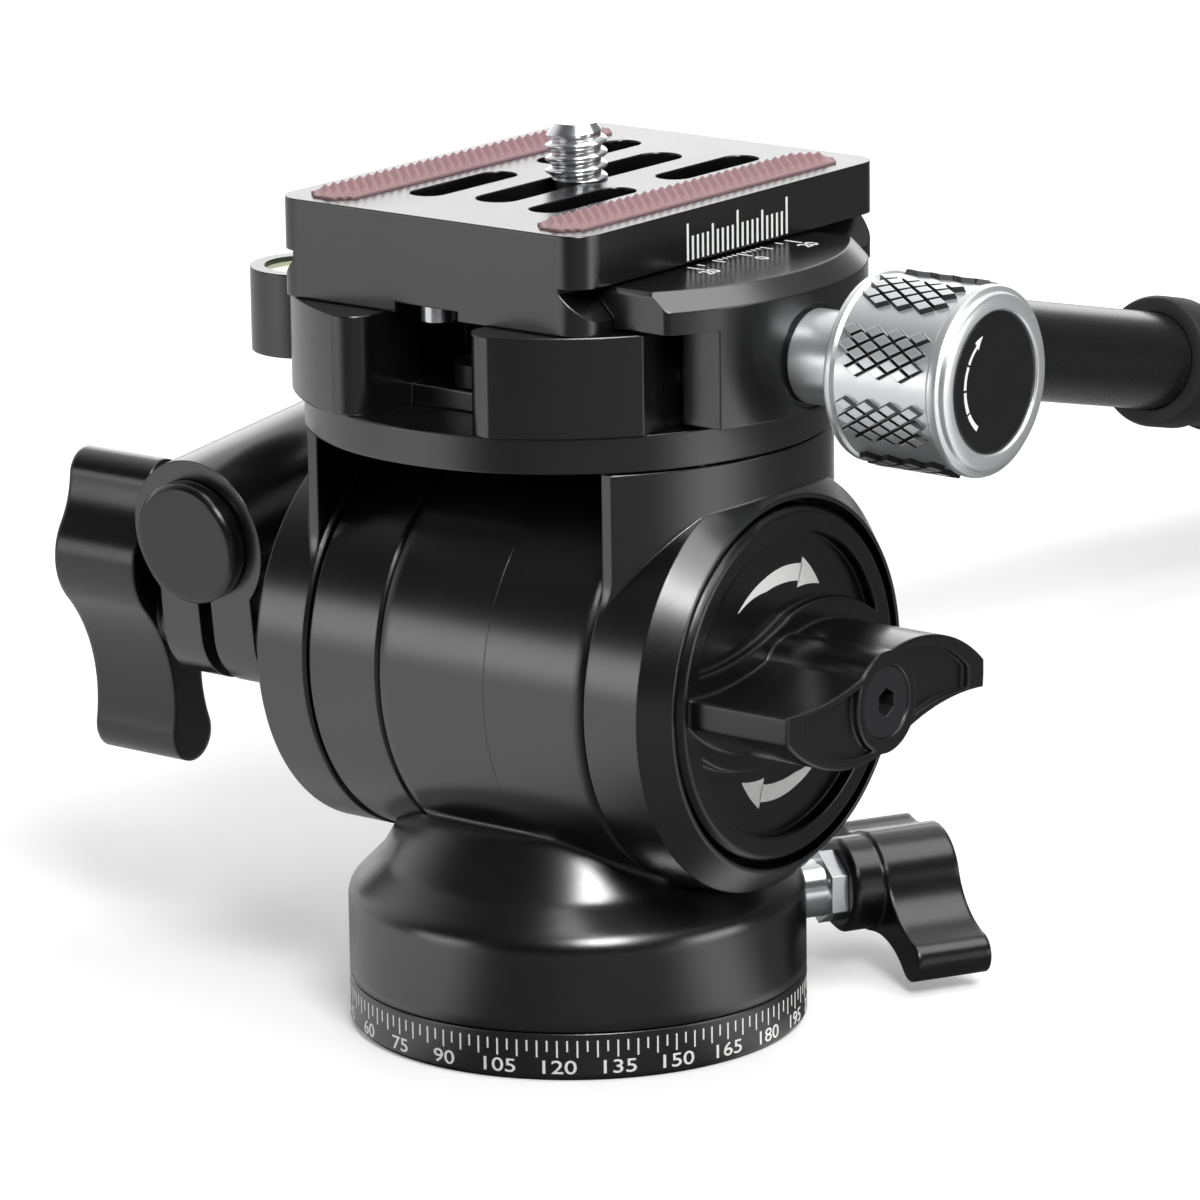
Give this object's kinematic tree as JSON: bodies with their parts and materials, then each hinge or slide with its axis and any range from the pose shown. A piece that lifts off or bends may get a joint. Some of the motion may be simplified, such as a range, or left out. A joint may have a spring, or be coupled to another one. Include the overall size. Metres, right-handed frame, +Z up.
{
  "type": "fluid video head",
  "caption": "Compact fluid video head with damped pan and tilt, winged locks, a sliding quick-release plate in a screw clamp, and a bent pan bar with a rubber grip.",
  "frame": {"origin": "centre of the base's underside, at the mouth of the tripod socket", "axes": "+Z up along the pan axis, +X along the tilt axis towards the tilt knob, +Y along the camera plate towards the pan bar's grip"},
  "size_m": [0.1095, 0.2926, 0.093],
  "materials": {
    "black_metal": "satin black anodised aluminium",
    "black_plastic": "satin black glass-filled plastic",
    "black_tube": "semi-gloss black anodised tube",
    "black_rubber": "matte black rubber",
    "pink_rubber": "pink-brown ribbed rubber",
    "steel": "bright turned steel",
    "dark_steel": "blackened steel",
    "chrome": "bright plated steel",
    "silver": "satin silver aluminium, knurled",
    "brass": "turned brass",
    "nylon": "plain nylon",
    "vial": "clear level vial with tinted fluid"
  },
  "bodies": {
    "pan_base": {"base_plate": "black_metal", "base_screws": "steel", "pan_spindle": "steel", "pan_nut": "steel", "wave_washer": "steel"},
    "pan_housing": {"pan_housing": "black_metal", "slip_washer": "nylon", "pan_bush": "brass", "brake_shoe": "brass", "barrel_cap": "black_metal", "cap_screws": "steel", "tilt_bushes": "brass", "axle_seals": "black_rubber", "damper_stator": "steel"},
    "pan_lock": {"pan_lock_stud": "chrome", "pan_lock_wing": "black_plastic"},
    "tilt_yoke": {"left_cheek": "black_metal", "right_cheek": "black_metal", "platform": "black_metal", "platform_screws": "steel", "tilt_axle": "steel", "damper_rotor": "brass", "friction_washer": "nylon", "clamp_body": "black_metal", "clamp_mount_screws": "dark_steel", "guide_pins": "steel", "jaw_springs": "steel", "level_cup": "black_metal", "level_vial": "vial", "clamp_washer": "nylon"},
    "tilt_knob": {"tilt_knob": "black_plastic", "knob_insert": "brass", "knob_screw": "dark_steel"},
    "jaw": {"movable_jaw": "black_metal"},
    "clamp_knob": {"clamp_knob": "silver", "knob_cap": "black_plastic", "clamp_screw": "steel"},
    "bar_clamp": {"bar_clamp": "black_metal"},
    "bar_wing": {"bar_wing": "black_plastic", "wing_stud": "chrome"},
    "pan_bar": {"pan_bar": "black_tube", "bar_end_cap": "black_plastic", "bar_grip": "black_rubber", "grip_end_cap": "black_rubber"},
    "camera_plate": {"camera_plate": "black_metal", "grip_strips": "pink_rubber", "stop_screws": "steel"},
    "screw_carriage": {"screw_washer": "nylon"},
    "camera_screw": {"camera_screw": "chrome"}
  },
  "joints": [
    {"name": "pan", "type": "hinge", "parent": "pan_base", "child": "pan_housing", "pos_m": [0, 0, 0.01], "axis": [0, 0, 1], "continuous": true},
    {"name": "pan_lock", "type": "hinge", "parent": "pan_housing", "child": "pan_lock", "pos_m": [0, 0, 0.0096], "axis": [0.4695, 0.8829, 0], "range_deg": [-90, 90]},
    {"name": "tilt", "type": "hinge", "parent": "pan_housing", "child": "tilt_yoke", "pos_m": [0, 0, 0.0392], "axis": [1, 0, 0], "range_deg": [-65, 90]},
    {"name": "tilt_lock", "type": "hinge", "parent": "tilt_yoke", "child": "tilt_knob", "pos_m": [0.025, 0, 0.0392], "axis": [1, 0, 0], "range_deg": [-180, 180]},
    {"name": "jaw_slide", "type": "slide", "parent": "tilt_yoke", "child": "jaw", "axis": [1, 0, 0], "range_m": [0, 0.003]},
    {"name": "clamp_turn", "type": "hinge", "parent": "jaw", "child": "clamp_knob", "pos_m": [0.04, 0, 0.07321], "axis": [1, 0, 0], "range_deg": [0, 1080]},
    {"name": "bar_angle", "type": "hinge", "parent": "tilt_yoke", "child": "bar_clamp", "pos_m": [-0.03, -0.0076, 0.038], "axis": [1, 0, 0], "range_deg": [-75, 22]},
    {"name": "bar_lock", "type": "hinge", "parent": "tilt_yoke", "child": "bar_wing", "pos_m": [-0.045, -0.0076, 0.038], "axis": [1, 0, 0], "range_deg": [-90, 90]},
    {"name": "bar_roll", "type": "hinge", "parent": "bar_clamp", "child": "pan_bar", "pos_m": [-0.0374, -0.00883, 0.04883], "axis": [0, 0.9936, 0.1132], "continuous": true},
    {"name": "plate_slide", "type": "slide", "parent": "tilt_yoke", "child": "camera_plate", "axis": [0, 1, 0], "range_m": [-0.015, 0.0085]},
    {"name": "screw_slide", "type": "slide", "parent": "camera_plate", "child": "screw_carriage", "axis": [0, 1, 0], "range_m": [-0.012, 0.013]},
    {"name": "screw_turn", "type": "hinge", "parent": "screw_carriage", "child": "camera_screw", "pos_m": [-0.0009, 0.0027, 0.085], "axis": [0, 0, 1], "continuous": true}
  ],
  "couplings": [
    {"joint": "clamp_turn", "follows": "jaw_slide", "rad_per_m": 6283.2}
  ]
}
